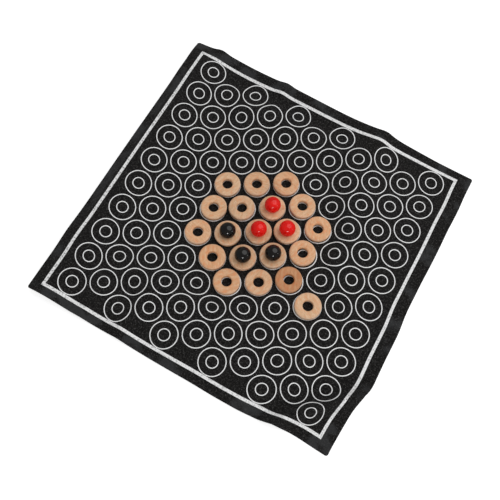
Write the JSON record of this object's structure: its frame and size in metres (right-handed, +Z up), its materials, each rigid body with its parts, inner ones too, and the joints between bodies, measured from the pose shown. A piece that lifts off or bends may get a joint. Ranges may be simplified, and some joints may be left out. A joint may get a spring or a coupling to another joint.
{
  "type": "ring and ball strategy game on a cloth mat",
  "caption": "Abstract strategy game: black cloth mat printed with double circles in staggered columns, loose wooden rings laid on them in a hexagon, red and black balls resting in ring holes.",
  "frame": {"origin": "middle of the mat's underside", "axes": "+Z up from the table, +Y along the straight columns of circles, +X across the columns"},
  "size_m": [0.3066, 0.3046, 0.0184],
  "materials": {
    "black_cloth": "matt black twill-woven cotton",
    "white_print": "matt off-white screen print on the weave",
    "pale_beech": "sanded pale beech, no varnish",
    "dark_beech": "sanded darker reddish beech",
    "red_lacquer": "gloss red lacquer on a turned wooden ball",
    "black_lacquer": "gloss black lacquer on a turned wooden ball"
  },
  "bodies": {
    "mat": {"mat_cloth": "black_cloth", "mat_fold_left": "black_cloth", "mat_fold_back": "black_cloth", "mat_fold_right": "black_cloth", "mat_fold_front": "black_cloth", "mat_fold_corner": "black_cloth", "printed_circles": "white_print", "printed_border": "white_print"},
    "ring_01": {"ring_01": "pale_beech"},
    "ring_02": {"ring_02": "pale_beech"},
    "ring_03": {"ring_03": "pale_beech"},
    "ring_04": {"ring_04": "pale_beech"},
    "ring_05": {"ring_05": "pale_beech"},
    "ring_06": {"ring_06": "pale_beech"},
    "ring_07": {"ring_07": "pale_beech"},
    "ring_08": {"ring_08": "pale_beech"},
    "ring_09": {"ring_09": "pale_beech"},
    "ring_10": {"ring_10": "pale_beech"},
    "ring_11": {"ring_11": "pale_beech"},
    "ring_12": {"ring_12": "pale_beech"},
    "ring_13": {"ring_13": "pale_beech"},
    "ring_14": {"ring_14": "pale_beech"},
    "ring_15": {"ring_15": "pale_beech"},
    "ring_16": {"ring_16": "pale_beech"},
    "ring_17": {"ring_17": "pale_beech"},
    "ring_18": {"ring_18": "pale_beech"},
    "ring_19": {"ring_19": "dark_beech"},
    "ring_20": {"ring_20": "pale_beech"},
    "red_ball_1": {"red_ball_1": "red_lacquer"},
    "red_ball_2": {"red_ball_2": "red_lacquer"},
    "red_ball_3": {"red_ball_3": "red_lacquer"},
    "black_ball_1": {"black_ball_1": "black_lacquer"},
    "black_ball_2": {"black_ball_2": "black_lacquer"},
    "black_ball_3": {"black_ball_3": "black_lacquer"}
  },
  "joints": [
    {"name": "lift_ring_01", "type": "slide", "parent": "mat", "child": "ring_01", "axis": [0, 0, 1], "range_m": [0, 0.03]},
    {"name": "lift_ring_02", "type": "slide", "parent": "mat", "child": "ring_02", "axis": [0, 0, 1], "range_m": [0, 0.03]},
    {"name": "lift_ring_03", "type": "slide", "parent": "mat", "child": "ring_03", "axis": [0, 0, 1], "range_m": [0, 0.03]},
    {"name": "lift_ring_04", "type": "slide", "parent": "mat", "child": "ring_04", "axis": [0, 0, 1], "range_m": [0, 0.03]},
    {"name": "lift_ring_05", "type": "slide", "parent": "mat", "child": "ring_05", "axis": [0, 0, 1], "range_m": [0, 0.03]},
    {"name": "lift_ring_06", "type": "slide", "parent": "mat", "child": "ring_06", "axis": [0, 0, 1], "range_m": [0, 0.03]},
    {"name": "lift_ring_07", "type": "slide", "parent": "mat", "child": "ring_07", "axis": [0, 0, 1], "range_m": [0, 0.03]},
    {"name": "lift_ring_08", "type": "slide", "parent": "mat", "child": "ring_08", "axis": [0, 0, 1], "range_m": [0, 0.03]},
    {"name": "lift_ring_09", "type": "slide", "parent": "mat", "child": "ring_09", "axis": [0, 0, 1], "range_m": [0, 0.03]},
    {"name": "lift_ring_10", "type": "slide", "parent": "mat", "child": "ring_10", "axis": [0, 0, 1], "range_m": [0, 0.03]},
    {"name": "lift_ring_11", "type": "slide", "parent": "mat", "child": "ring_11", "axis": [0, 0, 1], "range_m": [0, 0.03]},
    {"name": "lift_ring_12", "type": "slide", "parent": "mat", "child": "ring_12", "axis": [0, 0, 1], "range_m": [0, 0.03]},
    {"name": "lift_ring_13", "type": "slide", "parent": "mat", "child": "ring_13", "axis": [0, 0, 1], "range_m": [0, 0.03]},
    {"name": "lift_ring_14", "type": "slide", "parent": "mat", "child": "ring_14", "axis": [0, 0, 1], "range_m": [0, 0.03]},
    {"name": "lift_ring_15", "type": "slide", "parent": "mat", "child": "ring_15", "axis": [0, 0, 1], "range_m": [0, 0.03]},
    {"name": "lift_ring_16", "type": "slide", "parent": "mat", "child": "ring_16", "axis": [0, 0, 1], "range_m": [0, 0.03]},
    {"name": "lift_ring_17", "type": "slide", "parent": "mat", "child": "ring_17", "axis": [0, 0, 1], "range_m": [0, 0.03]},
    {"name": "lift_ring_18", "type": "slide", "parent": "mat", "child": "ring_18", "axis": [0, 0, 1], "range_m": [0, 0.03]},
    {"name": "lift_ring_19", "type": "slide", "parent": "mat", "child": "ring_19", "axis": [0, 0, 1], "range_m": [0, 0.03]},
    {"name": "lift_ring_20", "type": "slide", "parent": "mat", "child": "ring_20", "axis": [0, 0, 1], "range_m": [0, 0.03]},
    {"name": "lift_red_ball_1", "type": "slide", "parent": "ring_06", "child": "red_ball_1", "axis": [0, 0, 1], "range_m": [0, 0.03]},
    {"name": "lift_red_ball_2", "type": "slide", "parent": "ring_10", "child": "red_ball_2", "axis": [0, 0, 1], "range_m": [0, 0.03]},
    {"name": "lift_red_ball_3", "type": "slide", "parent": "ring_11", "child": "red_ball_3", "axis": [0, 0, 1], "range_m": [0, 0.03]},
    {"name": "lift_black_ball_1", "type": "slide", "parent": "ring_09", "child": "black_ball_1", "axis": [0, 0, 1], "range_m": [0, 0.03]},
    {"name": "lift_black_ball_2", "type": "slide", "parent": "ring_14", "child": "black_ball_2", "axis": [0, 0, 1], "range_m": [0, 0.03]},
    {"name": "lift_black_ball_3", "type": "slide", "parent": "ring_15", "child": "black_ball_3", "axis": [0, 0, 1], "range_m": [0, 0.03]}
  ]
}
